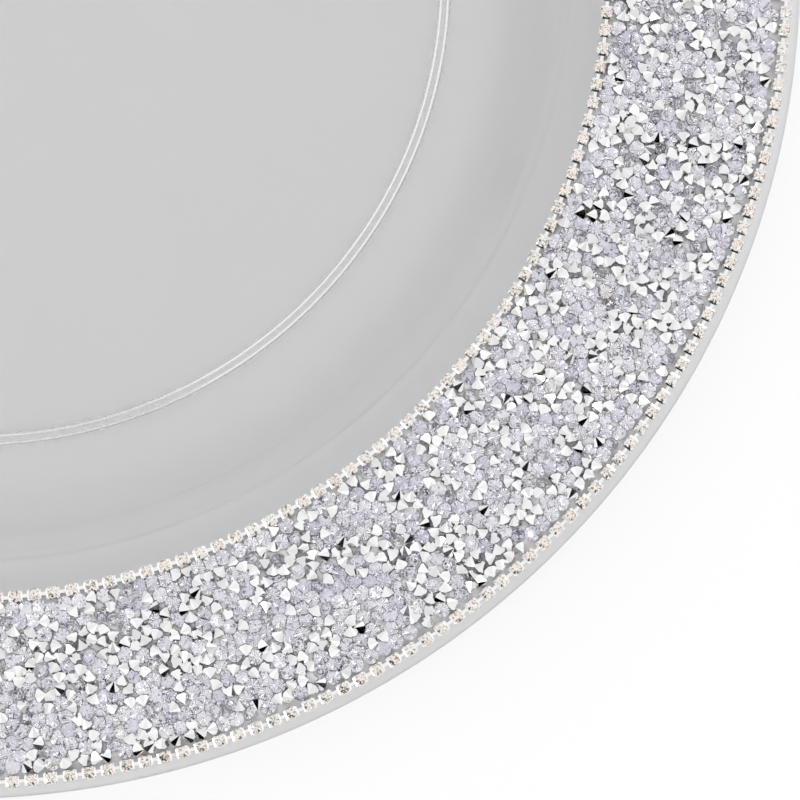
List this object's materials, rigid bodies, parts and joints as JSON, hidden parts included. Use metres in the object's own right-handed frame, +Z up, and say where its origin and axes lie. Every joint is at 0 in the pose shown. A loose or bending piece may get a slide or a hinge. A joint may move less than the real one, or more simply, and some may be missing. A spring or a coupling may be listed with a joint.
{
  "type": "serving plate",
  "caption": "Round clear glass serving plate with a flat well, a foot ring and a wide rim covered in small foil-backed stones between two cup chains.",
  "frame": {"origin": "middle of the foot ring's underside, on the table", "axes": "+Z up along the plate's axis of revolution; X and Y are any two square directions"},
  "size_m": [0.33, 0.33, 0.02],
  "materials": {
    "clear_glass": "clear pressed glass, polished",
    "adhesive": "clear set adhesive, slightly grey and uneven",
    "crystal": "faceted glass stones with a silver foil back",
    "chain_metal": "bright silver plate with pale champagne stones"
  },
  "bodies": {
    "root": {"glass_plate": "clear_glass", "adhesive_bed": "adhesive", "crystal_sector_01": "crystal", "crystal_sector_02": "crystal", "crystal_sector_03": "crystal", "crystal_sector_04": "crystal", "crystal_sector_05": "crystal", "crystal_sector_06": "crystal", "crystal_sector_07": "crystal", "crystal_sector_08": "crystal", "crystal_sector_09": "crystal", "crystal_sector_10": "crystal", "crystal_sector_11": "crystal", "crystal_sector_12": "crystal", "crystal_sector_13": "crystal", "crystal_sector_14": "crystal", "crystal_sector_15": "crystal", "crystal_sector_16": "crystal", "crystal_sector_17": "crystal", "crystal_sector_18": "crystal", "crystal_sector_19": "crystal", "crystal_sector_20": "crystal", "crystal_sector_21": "crystal", "crystal_sector_22": "crystal", "crystal_sector_23": "crystal", "crystal_sector_24": "crystal", "inner_chain_run_01": "chain_metal", "inner_chain_run_02": "chain_metal", "inner_chain_run_03": "chain_metal", "inner_chain_run_04": "chain_metal", "inner_chain_run_05": "chain_metal", "inner_chain_run_06": "chain_metal", "inner_chain_run_07": "chain_metal", "inner_chain_run_08": "chain_metal", "inner_chain_run_09": "chain_metal", "inner_chain_run_10": "chain_metal", "inner_chain_run_11": "chain_metal", "inner_chain_run_12": "chain_metal", "outer_chain_run_01": "chain_metal", "outer_chain_run_02": "chain_metal", "outer_chain_run_03": "chain_metal", "outer_chain_run_04": "chain_metal", "outer_chain_run_05": "chain_metal", "outer_chain_run_06": "chain_metal", "outer_chain_run_07": "chain_metal", "outer_chain_run_08": "chain_metal", "outer_chain_run_09": "chain_metal", "outer_chain_run_10": "chain_metal", "outer_chain_run_11": "chain_metal", "outer_chain_run_12": "chain_metal"}
  },
  "joints": []
}
